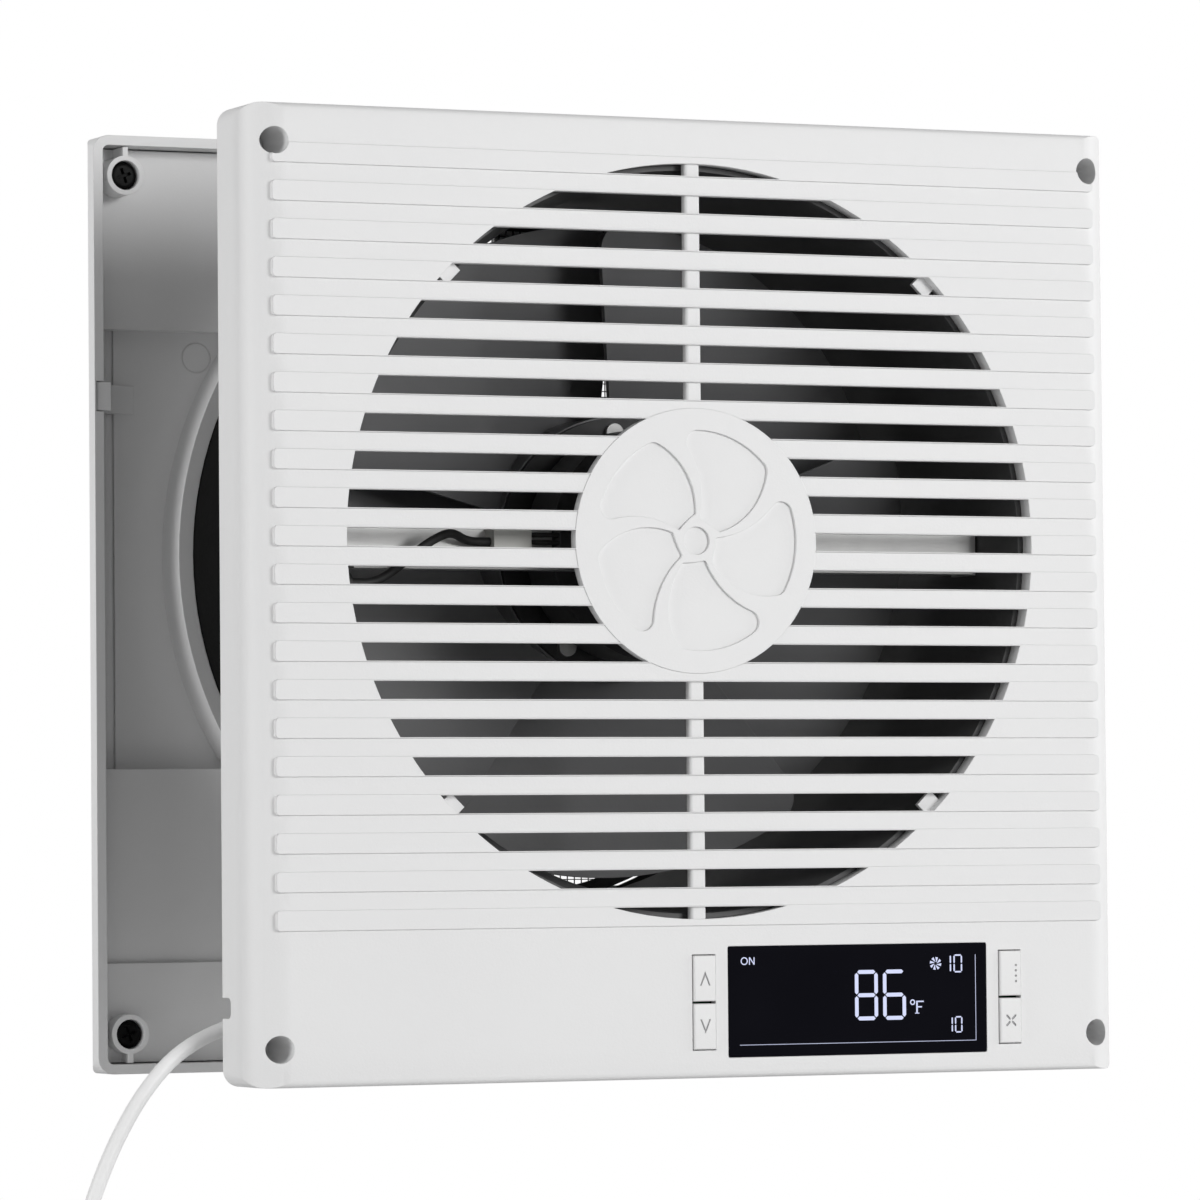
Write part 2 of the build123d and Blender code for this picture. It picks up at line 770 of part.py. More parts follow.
def motor_bracket():
    """Steel channel across the sleeve: web, two lips towards the grille, two end tabs."""
    width = 2 * bracket_reach
    web = Pos(0, duct_up) * Rectangle(width, bracket_height)
    web -= discs([(-motor_screw_x, duct_up), (motor_screw_x, duct_up)], motor_screw_radius + hole_gap)
    window = (terminal_length + 1, connector_height + 1)
    web -= Pos(terminal_x(), duct_up) * Rectangle(*window)
    bracket = slab(web, bracket_y, bracket_back)
    lip = Rectangle(width - 2 * bracket_corner, bracket_plate)
    level = (bracket_height - bracket_plate) / 2
    lips = Pos(0, duct_up + level) * lip + Pos(0, duct_up - level) * lip
    bracket += slab(lips, bracket_y - bracket_lip, bracket_y)
    middle = bracket_reach - bracket_plate / 2
    tab = Rectangle(bracket_plate, bracket_height)
    tabs = Pos(middle, duct_up) * tab + Pos(-middle, duct_up) * tab
    bracket += slab(tabs, bracket_y, bracket_y + bracket_tab)
    for start, end in bracket_screw_lines():
        bracket -= rod(start, (end[0] * 1.1, *end[1:]), bracket_screw_radius + hole_gap)
    return bracket


def terminal_x():
    """Middle of the motor's terminal block, at the left of its front face."""
    return terminal_length / 2 - motor_radius


def motor_housing():
    """Deep cup that hangs behind the bracket, with its front bearing seat and terminal block."""
    cup = slab(Pos(0, duct_up) * Circle(motor_radius), bracket_back, motor_cap_y)
    floor = bracket_back + motor_wall
    cup -= slab(Pos(0, duct_up) * Circle(motor_inside), floor, motor_cap_y + 1)
    cup += slab(ring(bearing_seat_radius + bearing_seat_wall, bearing_seat_radius), floor - 0.5,
                floor + bearing_width)
    screws = [(-motor_screw_x, duct_up), (motor_screw_x, duct_up)]
    cup += slab(discs(screws, motor_screw_boss), floor - 0.5, bracket_back + motor_screw_bite + 0.5)
    cup -= slab(discs(screws, motor_screw_radius), bracket_y, bracket_back + motor_screw_bite)
    block = Pos(terminal_x(), duct_up) * Rectangle(terminal_length, connector_height)
    return cup + slab(block, bracket_back - terminal_reach, floor)


def motor_screws():
    places = [(-motor_screw_x, duct_up), (motor_screw_x, duct_up)]
    screws = slab(discs(places, motor_screw_head), bracket_y - motor_screw_head_height, bracket_y)
    return screws + slab(discs(places, motor_screw_radius), bracket_y, bracket_back + motor_screw_bite)


def motor_end_cap():
    """Rear lid of the motor, with a spigot in the cup and the rear bearing's seat."""
    cap = slab(Pos(0, duct_up) * Circle(motor_radius), motor_cap_y, motor_cap_y + motor_cap_plate)
    spigot = motor_inside - motor_spigot_gap
    cap += slab(ring(spigot, spigot - motor_wall), motor_cap_y - motor_cap_spigot, motor_cap_y + 0.5)
    boss = Circle(bearing_seat_radius + bearing_seat_wall)
    cap += slab(Pos(0, duct_up) * boss, motor_cap_y, motor_back)
    cap -= slab(Pos(0, duct_up) * Circle(bearing_seat_radius), motor_cap_y - 1, motor_cap_y + bearing_width)
    return cap - slab(Pos(0, duct_up) * Circle(shaft_shoulder_radius - 1), motor_cap_y, motor_back + 1)


def motor_bearings():
    bearing = ring(bearing_radius, shaft_radius + shaft_running_gap)
    floor = bracket_back + motor_wall
    return slab(bearing, floor, floor + bearing_width) + slab(bearing, motor_cap_y,
                                                              motor_cap_y + bearing_width)


def motor_stator():
    back = motor_cap_y - motor_cap_spigot - stator_gap
    return slab(ring(motor_inside - stator_gap, stator_bore), back - stator_length, back)


def motor_rotor():
    back = motor_cap_y - motor_cap_spigot
    return slab(ring(stator_bore - rotor_gap, shaft_radius + hub_bore_gap), back - rotor_length, back)


def motor_shaft():
    """Shaft with the shoulder that the hub plate is clamped against."""
    front = bracket_back + motor_wall + shaft_cap_gap / 2
    back = boss_back + nut_height + shaft_tail
    shaft = slab(Pos(0, duct_up) * Circle(shaft_radius), front, back)
    shoulder = Pos(0, duct_up) * Circle(shaft_shoulder_radius)
    return shaft + slab(shoulder, motor_back + shaft_cap_gap, hub_front_y)


def hub_screw_places():
    angles = [hub_screw_first + 360 / hub_screw_count * number for number in range(hub_screw_count)]
    return [(x, duct_up + z) for x, z in (spot(hub_screw_circle, angle) for angle in angles)]


def hub_plate():
    """Pressed disc on the shaft that the impeller is screwed to."""
    disc = ring(hub_radius - hub_plate_inset, shaft_radius + hub_bore_gap)
    disc -= discs(hub_screw_places(), hub_screw_radius + hole_gap)
    return slab(disc, hub_front_y, hub_plate_back)


def hub_screws():
    heads = discs(hub_screw_places(), hub_screw_head)
    screws = slab(heads, hub_front_y - hub_screw_head_height, hub_front_y)
    shanks = discs(hub_screw_places(), hub_screw_radius)
    return screws + slab(shanks, hub_front_y, hub_plate_back + hub_screw_bite)


def blade():
    """One wide twisted blade, pointing along +X, its leading edge up and towards the grille."""
    half_sweep = math.radians(blade_sweep / 2)
    wide = 1.15
    middle = hub_plate_back + hub_depth / 2
    faces = []
    for reach in (hub_radius * 0.75, blade_tip + 1):
        half = wide * reach * math.tan(half_sweep)
        rise, thick = wide * blade_depth / 2, blade_thickness / 2
        points = [(-half, middle + rise - thick), (half, middle - rise - thick),
                  (half, middle - rise + thick), (-half, middle + rise + thick)]
        corner_points = [(reach, y, duct_up + z) for z, y in points]
        faces.append(make_face(Polyline(*corner_points, close=True)))
    sheet = loft(faces, ruled=True)
    sweep_points = [(0, 0), spot(2 * blade_tip, -blade_sweep / 2), spot(2 * blade_tip, blade_sweep / 2)]
    wedge = make_face(Polyline(*sweep_points, close=True))
    plan = wedge & (Circle(blade_tip) - Circle(hub_radius - hub_wall / 2))
    plan = fillet(plan.vertices().sort_by(Axis.X)[-2:], blade_corner)
    return sheet & slab(Pos(0, duct_up) * plan, hub_plate_back - hub_depth, hub_back + hub_depth)


def impeller():
    """Plastic hub cup with five wide blades."""
    cup = slab(Pos(0, duct_up) * Circle(hub_radius), hub_plate_back, hub_back)
    cup -= slab(Pos(0, duct_up) * Circle(hub_radius - hub_wall), hub_plate_back + hub_wall, hub_back + 1)
    cup += slab(Pos(0, duct_up) * Circle(hub_boss_radius), hub_plate_back, boss_back)
    cup += slab(discs(hub_screw_places(), 2 * hub_screw_radius), hub_plate_back + 1,
                hub_plate_back + hub_screw_bite + 1)
    first = blade()
    for number in range(blade_count):
        turn = blade_lead_angle - blade_sweep / 2 + 360 / blade_count * number
        cup += first.rotate(duct_axis, -turn)
    cup -= slab(Pos(0, duct_up) * Circle(shaft_radius + hub_bore_gap), hub_plate_back - 1, boss_back + 1)
    return cup - slab(discs(hub_screw_places(), hub_screw_radius), hub_plate_back - 1,
                      hub_plate_back + hub_screw_bite)


def shaft_nut():
    nut = RegularPolygon(nut_across_corners / 2, 6) - Circle(shaft_radius + hub_bore_gap)
    return slab(Pos(0, duct_up) * nut, boss_back, boss_back + nut_height)


def route_path(points):
    """Straight runs joined by the largest tangent arcs that the runs leave room for."""
    radii = []
    for before, here, after in zip(points, points[1:], points[2:]):
        first, second = Vector(*here) - Vector(*before), Vector(*after) - Vector(*here)
        turn = math.radians(first.get_angle(second))
        radii.append(0.45 * min(first.length, second.length) / math.tan(turn / 2))
    return FilletPolyline(*points, radius=radii), radii


def tube(path, radius):
    return sweep(Plane(origin=path @ 0, z_dir=path % 0) * Circle(radius), path=path)


def motor_cable():
    return tube(route_path(cable_route)[0], cable_radius)


def cable_connector():
    """White plug and socket in the channel, and the three leads from it to the motor."""
    start = connector_end - connector_length
    middle = (start + connector_end) / 2
    outline = Pos(middle, duct_up) * Rectangle(connector_length, connector_height)
    return slab(outline, bracket_y - connector_thickness, bracket_y)


def motor_leads():
    leads = Part()
    for level in (-lead_spread, 0.0, lead_spread):
        ends = [(x, connector_y, duct_up + level) for x in (connector_end, terminal_x() - terminal_length / 2)]
        leads += rod(*ends, lead_radius)
    return leads


def cable_grommet():
    """Rubber bush that lines the cable's hole through the collar and the sleeve."""
    level = duct_up - grommet_z - grommet_flange
    collar_x = -math.sqrt(front_collar_radius**2 - level**2)
    bush = rod((collar_x, grommet_y, grommet_z), (2 - sleeve_bore, grommet_y, grommet_z), grommet_radius)
    outer_end = (collar_x - grommet_flange_thickness, grommet_y, grommet_z)
    bush += rod(outer_end, (collar_x, grommet_y, grommet_z), grommet_flange)
    bore_end = (4 - sleeve_bore, grommet_y, grommet_z)
    return bush - rod((outer_end[0] - 1, *outer_end[1:]), bore_end, cable_radius + grommet_gap)


def cord_gland():
    """Tapered strain relief with a neck through the pocket's wall and a flange on each side."""
    def along(x):
        return (x, gland_y, gland_z)

    inner = pocket_right + gland_flange_thickness
    gland = rod(along(gland_wall_x), along(pocket_right), gland_neck_radius)
    gland += rod(along(gland_base_x), along(gland_wall_x), gland_flange_radius)
    gland += rod(along(pocket_right), along(inner), gland_flange_radius)
    root = Plane(origin=along(gland_base_x), z_dir=(-1, 0, 0)) * Circle(gland_root_radius)
    tip = Plane(origin=cord_exit, z_dir=(-1, 0, 0)) * Circle(gland_tip_radius)
    return gland + loft([root, tip], ruled=True)


def mains_wires():
    start = pocket_right + gland_flange_thickness
    end = mains_terminal[0] - terminal_size[0] / 2
    wires = Part()
    for level in (-wire_spread, wire_spread):
        wires += rod((start, gland_y, gland_z + level), (end, gland_y, gland_z + level), wire_radius)
    return wires


def cord_lead():
    return tube(route_path(cord_route)[0], cord_radius)


def coil_places():
    """Ends of the coil's half turns: reach from the axis and y, alternately left and right."""
    half_pitch = coil_pitch / 2
    reach, places = coil_radius, [(coil_radius, coil_y)]
    for layer in range(coil_layers):
        step = -half_pitch if layer % 2 == 0 else half_pitch
        for _ in range(coil_half_turns):
            reach += step
            places.append((reach, coil_y + layer * coil_pitch))
        places.append((reach, coil_y + (layer + 1) * coil_pitch))
    last_y = coil_y + (coil_layers - 1) * coil_pitch
    places = places[:coil_layers * (coil_half_turns + 1) - 2]
    return places + [(plug_offset, last_y)]


def coil_path():
    """Half circles from place to place, with a short straight end above and below."""
    places = coil_places()
    points = [(coil_x - (-1) ** number * reach, y, coil_z) for number, (reach, y) in enumerate(places)]
    edges = [Line(coil_start, points[0])]
    for number, (start, end) in enumerate(zip(points, points[1:])):
        middle = (Vector(*start) + Vector(*end)) / 2
        radius = (Vector(*end) - Vector(*start)).length / 2
        side = -1 if number % 2 == 0 else 1
        edges.append(ThreePointArc(start, middle + Vector(0, 0, side * radius), end))
    tail = Vector(*points[-1]) - Vector(0, 0, 2 * cord_radius)
    edges.append(Line(points[-1], tail))
    return Wire(edges)


def cord_coil():
    return tube(coil_path(), cord_radius)


def cord_tie():
    """Soft band round the bundle of turns, at the side away from the lead."""
    places = coil_places()[1::2]
    near = min(reach for reach, _ in places) - cord_radius - tie_gap
    far = max(reach for reach, _ in places) + cord_radius + tie_gap
    low, high = coil_y - cord_radius - tie_gap, coil_y + (coil_layers - 1) * coil_pitch
    high += cord_radius + tie_gap
    inside = Pos(coil_x + (near + far) / 2, (low + high) / 2)
    inner = inside * RectangleRounded(far - near, high - low, cord_radius)
    grown = 2 * tie_thickness
    outer = inside * RectangleRounded(far - near + grown, high - low + grown, cord_radius + tie_thickness)
    return extrude(Plane.XY.offset(coil_z - tie_width / 2) * (outer - inner), tie_width)


def plug_places():
    """X, y and the top of the plug, straight below the coil's tail."""
    return coil_x - plug_offset, coil_y + (coil_layers - 1) * coil_pitch, coil_z - 2 * cord_radius


def plug_body():
    """Moulded plug that hangs beside the coil: tapered strain relief and rounded grip."""
    x, y, top = plug_places()
    shoulder = top - plug_relief_length
    tip = Plane(origin=(x, y, top), z_dir=(0, 0, -1)) * Circle(plug_relief_tip)
    root = Plane(origin=(x, y, shoulder), z_dir=(0, 0, -1)) * Circle(plug_relief_root)
    grip = Pos(x, y, shoulder - plug_length / 2) * Box(plug_thickness, plug_width, plug_length)
    grip = fillet(grip.edges().filter_by(Axis.Z), plug_round)
    grip = fillet(grip.edges().group_by(Axis.Z)[-1], plug_round / 2)
    return grip + loft([tip, root], ruled=True)


def plug_blades():
    x, y, top = plug_places()
    start = top - plug_relief_length - plug_length
    blade_box = Box(plug_blade_width, plug_blade_thickness, plug_blade_length)
    level = start - plug_blade_length / 2
    return Part() + [Pos(x, y + side * plug_blade_spacing / 2, level) * blade_box for side in (-1, 1)]


def rear_cover():
    """White shell of the far room, with the same grille and no display."""
    outside = housing_form(*rear_shape)
    cover = outside - inner_form(*rear_shape, shell_wall)
    cover = add_grille(cover, rear_side, rear_face, 1, rear_bar_inset)
    cover -= tab_seats(rear_side, rear_rim, 1)
    for place, seat in rear_screw_places():
        boss = slab(Pos(*place) * Circle(rear_screw_boss), seat, rear_face - shell_wall / 2)
        cover += boss & outside
        cover -= slab(Pos(*place) * Circle(rear_screw_radius + hole_gap / 2), seat - 1,
                      seat + rear_screw_bite)
    return cover


def rear_screw_places():
    """Places of the four black screws, with the y where the frame's plate ends under each."""
    floors = {-1: rear_floors[3], 1: rear_floors[0]}
    return [((side * rear_boss_x, rear_up + level * rear_boss_z), rear_rim + floors[level] + frame_plate)
            for side in (-1, 1) for level in (-1, 1)]


def rear_frame():
    """Stepped tray of the rear unit, with the sleeve's collar and four corner bosses."""
    boss_front = rear_rim + rear_boss_setback
    bosses, rooms = Part(), Part()
    for place, seat in rear_screw_places():
        bosses += slab(Pos(*place) * Circle(rear_boss_radius), boss_front, seat)
        level = rear_up + math.copysign(rear_side / 2 - shell_wall - frame_gap, place[1])
        rib = Rectangle(rear_boss_rib, abs(level - place[1]))
        bosses += slab(Pos(place[0], (level + place[1]) / 2) * rib, boss_front, seat)
        rooms += slab(Pos(*place) * Circle(rear_well_radius), rear_rim, boss_front + rear_well_depth)
        rooms += slab(Pos(*place) * Circle(rear_screw_radius + hole_gap), rear_rim, seat + 1)
    frame = frame_tray(rear_shape, 1, rear_steps, rear_floors, bosses) - rooms
    frame -= slab(Pos(0, duct_up) * Circle(rear_sleeve_bore), rear_rim, rear_face)
    floor = rear_rim + rear_floors[1]
    collar = ring(rear_collar_radius, rear_sleeve_radius + seat_gap)
    collar = slab(collar, rear_rim + collar_setback, floor + frame_plate / 2)
    room = slab(Pos(0, duct_up) * Circle(rear_collar_radius - 1), rear_rim, floor)
    mark = Pos(*mark_place) * (Circle(mark_radius) - Circle(mark_radius - mark_line))
    return frame - room + collar - slab(mark, floor, floor + mark_depth)


def rear_screws():
    """Black cross-head screws, driven from the wall side into the rear shell."""
    screws = Part()
    head_back = rear_rim + rear_boss_setback + rear_well_depth
    head_front = head_back - rear_screw_head_height
    cross = Rectangle(cross_slot_length, cross_slot_width) + Rectangle(cross_slot_width, cross_slot_length)
    for place, seat in rear_screw_places():
        head = slab(Pos(*place) * Circle(rear_screw_head), head_front, head_back)
        head = fillet(head.edges().group_by(Axis.Y)[0], rear_screw_head_height / 2)
        head -= slab(Pos(*place) * Rot(0, 0, 20) * cross, head_front - 1, head_front + cross_slot_depth)
        screws += head
        screws += slab(Pos(*place) * Circle(rear_screw_radius), head_back, seat + rear_screw_bite)
    return screws


def rear_sleeve():
    return slab(ring(rear_sleeve_radius, rear_sleeve_bore), rear_sleeve_start, rear_rim + rear_floors[1])


def rear_screen():
    """Coarse net behind the far grille: one disc with square holes and a plain rim."""
    radius = rear_sleeve_bore - screen_gap
    hole = screen_pitch - screen_wire
    reach = radius - screen_rim
    count = int(radius / screen_pitch) + 1
    places = [(column * screen_pitch, row * screen_pitch)
              for column in range(-count, count + 1) for row in range(-count, count + 1)]
    inside = [place for place in places
              if math.hypot(abs(place[0]) + hole / 2, abs(place[1]) + hole / 2) < reach]
    holes = Sketch() + [Pos(*place) * Rectangle(hole, hole) for place in inside]
    return slab(Pos(0, duct_up) * (Circle(radius) - holes), rear_inner_face - screen_thickness,
                rear_inner_face)


pieces = {
    "front_cover": front_cover,
    "front_frame": front_frame,
    "front_sleeve": front_sleeve,
    "display_lens": display_lens,
    "lcd_panel": lcd_panel,
    "control_board": control_board,
    "board_screws": board_screws,
    "tact_switches": tact_switches,
    "button_up": lambda: button("up"),
    "button_down": lambda: button("down"),
    "button_mode": lambda: button("mode"),
    "button_speed": lambda: button("speed"),
    "power_board": power_board,
    "power_parts": power_parts,
    "board_link": board_link,
    "frame_screws": frame_screws,
    "motor_bracket": motor_bracket,
    "bracket_screws": bracket_screws,
    "motor_housing": motor_housing,
    "motor_end_cap": motor_end_cap,
    "motor_screws": motor_screws,
    "motor_bearings": motor_bearings,
    "motor_stator": motor_stator,
    "motor_rotor": motor_rotor,
    "motor_shaft": motor_shaft,
    "hub_plate": hub_plate,
    "hub_screws": hub_screws,
    "impeller": impeller,
    "shaft_nut": shaft_nut,
    "motor_cable": motor_cable,
    "cable_connector": cable_connector,
    "motor_leads": motor_leads,
    "cable_grommet": cable_grommet,
    "cord_gland": cord_gland,
    "mains_wires": mains_wires,
    "cord_lead": cord_lead,
    "cord_coil": cord_coil,
    "cord_tie": cord_tie,
    "plug_body": plug_body,
    "plug_blades": plug_blades,
    "rear_cover": rear_cover,
    "rear_frame": rear_frame,
    "rear_sleeve": rear_sleeve,
    "rear_screws": rear_screws,
    "rear_screen": rear_screen,
}


def least_coil_gap():
    """Least distance between turns of the coil's tube, measured on points along its path."""
    path = coil_path()
    step = 1.5
    count = int(path.length / step)
    points = [path @ (number / count) for number in range(count + 1)]
    apart = int(4 * cord_radius / step) + 2
    least = path.length
    for number, point in enumerate(points):
        for other in points[number + apart:]:
            least = min(least, (point - other).length)
    return least - 2 * cord_radius


def print_cords(parts):
    """Arc radii, lengths, and each tube's volume against its section times its length."""
    for name, route, radius in (("cord_lead", cord_route, cord_radius),
                                ("motor_cable", cable_route, cable_radius)):
        path, radii = route_path(route)
        share = parts[name].volume / (math.pi * radius**2 * path.length)
        print(name, "length", round(path.length, 1), "volume share", round(share, 4))
        print(name, "arc radii", [round(value, 1) for value in radii])
    path = coil_path()
    share = parts["cord_coil"].volume / (math.pi * cord_radius**2 * path.length)
    print("cord_coil length", round(path.length, 1), "volume share", round(share, 4))
    print("cord_coil least gap", round(least_coil_gap(), 2))


os.makedirs("parts", exist_ok=True)
built = {name: make() for name, make in pieces.items()}
for name, part in built.items():
    export_step(part, f"parts/{name}.step")
print_cords(built)
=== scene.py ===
import bpy
import bmesh
import json
import math
from mathutils import Matrix, Vector


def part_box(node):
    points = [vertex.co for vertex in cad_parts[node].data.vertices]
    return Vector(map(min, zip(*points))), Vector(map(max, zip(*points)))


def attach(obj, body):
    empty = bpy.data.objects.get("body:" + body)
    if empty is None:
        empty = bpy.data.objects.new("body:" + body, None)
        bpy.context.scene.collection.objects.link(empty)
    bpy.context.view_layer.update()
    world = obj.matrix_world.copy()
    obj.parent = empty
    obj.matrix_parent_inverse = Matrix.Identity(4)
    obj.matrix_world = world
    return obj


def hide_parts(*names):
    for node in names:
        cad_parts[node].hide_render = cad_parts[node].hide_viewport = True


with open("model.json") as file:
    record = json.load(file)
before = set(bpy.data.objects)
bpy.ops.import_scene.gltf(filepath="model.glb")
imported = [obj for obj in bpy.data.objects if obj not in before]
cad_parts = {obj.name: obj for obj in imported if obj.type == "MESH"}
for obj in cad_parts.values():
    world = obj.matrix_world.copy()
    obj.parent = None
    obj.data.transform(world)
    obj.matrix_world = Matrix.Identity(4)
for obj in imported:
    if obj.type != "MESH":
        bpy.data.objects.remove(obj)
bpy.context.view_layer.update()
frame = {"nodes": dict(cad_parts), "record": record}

# Camera: a long lens a little left of the unit and just under its middle, as in the photograph.
MM = 0.001
camera_place = Vector((-831.1, -1785.5, -74.5)) * MM
camera_turn, camera_tilt, camera_roll = (math.radians(angle) for angle in (-24.409, -2.173, -0.498))
lens_length, sensor_width = 199.26, 36.0

view_rows = (Matrix.Rotation(camera_roll, 3, "Z") @ Matrix.Rotation(camera_tilt, 3, "X")
             @ Matrix.Rotation(camera_turn, 3, "Y"))
view_right, view_down, view_forward = (Vector((row[0], row[2], -row[1])) for row in view_rows)
camera_data = bpy.data.cameras.new("camera")
camera_data.lens = lens_length
camera_data.sensor_width = sensor_width
camera_data.clip_end = 50.0
camera = bpy.data.objects.new("camera", camera_data)
bpy.context.collection.objects.link(camera)
axes = Matrix((view_right, -view_down, -view_forward)).transposed()
camera.matrix_world = Matrix.Translation(camera_place) @ axes.to_4x4()
bpy.context.scene.camera = camera
bpy.context.scene.view_settings.view_transform = "Standard"

# Mains cord: white round vinyl, 4.4 mm thick and 1.8 m long, led out at the lower left.
# It hangs beside the housings, and the rest is wound in a tied coil below the view.
cord_radius = 2.2
gland_tip = (-87.5, -11.0, -118.0)
coil_middle = (-151.0, 9.0, -213.0)
coil_reach, coil_pitch, coil_layers, coil_half_turns = 31.5, 5.75, 4, 5
plug_offset = 43.0
cord_past_plug_top = 1.0
steps_in_half_turn = 8
lead_route = [
    gland_tip, (-100.5, -11.0, -118.0), (-113.0, -6.0, -118.6), (-125.2, 3.4, -120.4),
    (-138.5, 9.2, -124.6), (-151.3, 9.4, -131.0), (-161.6, 9.0, -141.6), (-169.6, 9.2, -154.4),
    (-175.9, 9.0, -168.0), (-180.6, 9.2, -181.6), (-182.5, 9.0, -195.0), (-182.5, 9.0, -208.6),
]


def coil_ends():
    """Reach and depth of each half turn's end: inwards and outwards by turns, layer after layer."""
    reach, ends = coil_reach, [(coil_reach, coil_middle[1])]
    for layer in range(coil_layers):
        step = coil_pitch / 2 if layer % 2 else -coil_pitch / 2
        for _ in range(coil_half_turns):
            reach += step
            ends.append((reach, coil_middle[1] + layer * coil_pitch))
        ends.append((reach, coil_middle[1] + (layer + 1) * coil_pitch))
    ends = ends[:coil_layers * (coil_half_turns + 1) - 2]
    return ends + [(plug_offset, coil_middle[1] + (coil_layers - 1) * coil_pitch)]


def coil_points():
    ends = coil_ends()
    outwards = 1 / math.cos(math.pi / (2 * steps_in_half_turn))
    points = []
    for number, (start, end) in enumerate(zip(ends, ends[1:])):
        side = 1 if number % 2 else -1
        start_x, end_x = side * start[0], -side * end[0]
        middle, radius = (start_x + end_x) / 2, (start_x - end_x) / 2
        for step in range(steps_in_half_turn):
            turn = math.pi * (step + 0.5) / steps_in_half_turn
            share = (1 - math.cos(turn)) / 2
            points.append((coil_middle[0] + middle + outwards * radius * math.cos(turn),
                           start[1] + (end[1] - start[1]) * share,
                           coil_middle[2] + side * outwards * abs(radius) * math.sin(turn)))
    return points


plug_x = coil_middle[0] - plug_offset
plug_y = coil_middle[1] + (coil_layers - 1) * coil_pitch
plug_top = coil_middle[2] - 2 * cord_radius
plug_run = [(plug_x, plug_y, coil_middle[2]), (plug_x, plug_y, plug_top - cord_past_plug_top)]
route = lead_route + coil_points() + plug_run
cord_curve = bpy.data.curves.new("mains_cord", "CURVE")
cord_curve.dimensions = "3D"
cord_curve.bevel_depth = cord_radius * MM
cord_curve.bevel_resolution = 5
cord_curve.use_fill_caps = True
spline = cord_curve.splines.new("NURBS")
spline.points.add(len(route) - 1)
for point, place in zip(spline.points, route):
    point.co = (*(Vector(place) * MM), 1.0)
spline.order_u = 3
spline.use_endpoint_u = True
spline.resolution_u = 5
mains_cord = bpy.data.objects.new("mains_cord", cord_curve)
bpy.context.collection.objects.link(mains_cord)

bevel_samples = 6


class Signal:
    """A socket that adds Math nodes as it is used in an expression."""

    def __init__(self, finish, socket):
        self.finish = finish
        self.socket = socket

    def maths(self, operation, first, second):
        return self.finish.node("ShaderNodeMath", {"operation": operation}, {0: first, 1: second})

    def __radd__(self, other):
        return self.maths("ADD", other, self)

    def __mul__(self, other):
        return self.maths("MULTIPLY", self, other)

    def __gt__(self, other):
        return self.maths("GREATER_THAN", self, other)

    def __lt__(self, other):
        return self.maths("LESS_THAN", self, other)


class Finish:
    """A procedural finish: its nodes, and the shader that they end in."""

    def __init__(self, name):
        self.material = bpy.data.materials.new(name)
        self.material.use_nodes = True
        self.tree = self.material.node_tree
        self.tree.nodes.clear()

    def node(self, kind, settings=None, inputs=None, output=0):
        node = self.tree.nodes.new(kind)
        for key, value in (settings or {}).items():
            setattr(node, key, value)
        for key, value in (inputs or {}).items():
            if isinstance(value, Signal):
                self.tree.links.new(value.socket, node.inputs[key])
            else:
                node.inputs[key].default_value = value
        return Signal(self, node.outputs[output])

    def place(self):
        return self.node("ShaderNodeTexCoord", output="Object")

    def noise(self, scale, detail=2.0, stretch=(1.0, 1.0, 1.0)):
        place = self.node("ShaderNodeMapping", inputs={"Vector": self.place(), "Scale": stretch})
        inputs = {"Vector": place, "Scale": scale, "Detail": detail}
        return self.node("ShaderNodeTexNoise", inputs=inputs)

    def tint(self, amount, low, high):
        """A colour between two, where 0 is the factor's socket and 6 and 7 are the colours'."""
        inputs = {0: amount, 6: (*low, 1.0), 7: (*high, 1.0)}
        return self.node("ShaderNodeMix", {"data_type": "RGBA"}, inputs, output=2)

    def grain(self, height, depth, round_edge=0.0):
        inputs = {"Height": height, "Distance": depth, "Strength": 1.0}
        if round_edge:
            bevel = self.node("ShaderNodeBevel", {"samples": bevel_samples}, {"Radius": round_edge})
            inputs["Normal"] = bevel
        return self.node("ShaderNodeBump", inputs=inputs)

    def surface(self, **inputs):
        named = {key.replace("_", " "): value for key, value in inputs.items()}
        shader = self.node("ShaderNodeBsdfPrincipled", inputs=named)
        end = self.tree.nodes.new("ShaderNodeOutputMaterial")
        self.tree.links.new(shader.socket, end.inputs["Surface"])
        return self.material


vinyl = Finish("white_vinyl")
vinyl_spots = vinyl.noise(60.0)
vinyl_grain = vinyl.noise(2200.0, 1.0)
cord_curve.materials.append(vinyl.surface(
    Base_Color=vinyl.tint(vinyl_spots, (0.84, 0.84, 0.84), (0.89, 0.89, 0.89)),
    Roughness=0.36 + vinyl_spots * 0.1, Normal=vinyl.grain(vinyl_grain, 0.00002)))
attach(mains_cord, "front_unit")
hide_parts("cord_lead", "cord_coil")

# Soft white fittings of the cord: the strain relief at the housing and the moulded plug.
# Both are vinyl with a fine matt grain; the plug hangs beside the coil on its own taper.
bodies = frame["record"]["behaviour"]["bodies"]
home = {node: body for body, nodes in bodies.items() for node in nodes}
smooth_below = math.radians(28)
weld = 0.000002


def dress(node, material):
    """Copies a solid's mesh, welds it, shades its curves smooth, and gives it a finish."""
    mesh = frame["nodes"][node].data.copy()
    shape = bmesh.new()
    shape.from_mesh(mesh)
    bmesh.ops.remove_doubles(shape, verts=shape.verts, dist=weld)
    shape.to_mesh(mesh)
    shape.free()
    if "custom_normal" in mesh.attributes:
        mesh.attributes.remove(mesh.attributes["custom_normal"])
    mesh.shade_smooth()
    mesh.set_sharp_from_angle(angle=smooth_below)
    mesh.materials.clear()
    mesh.materials.append(material)
    piece = bpy.data.objects.new(node + "_skin", mesh)
    bpy.context.collection.objects.link(piece)
    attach(piece, home[node])
    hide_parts(node)
    return piece


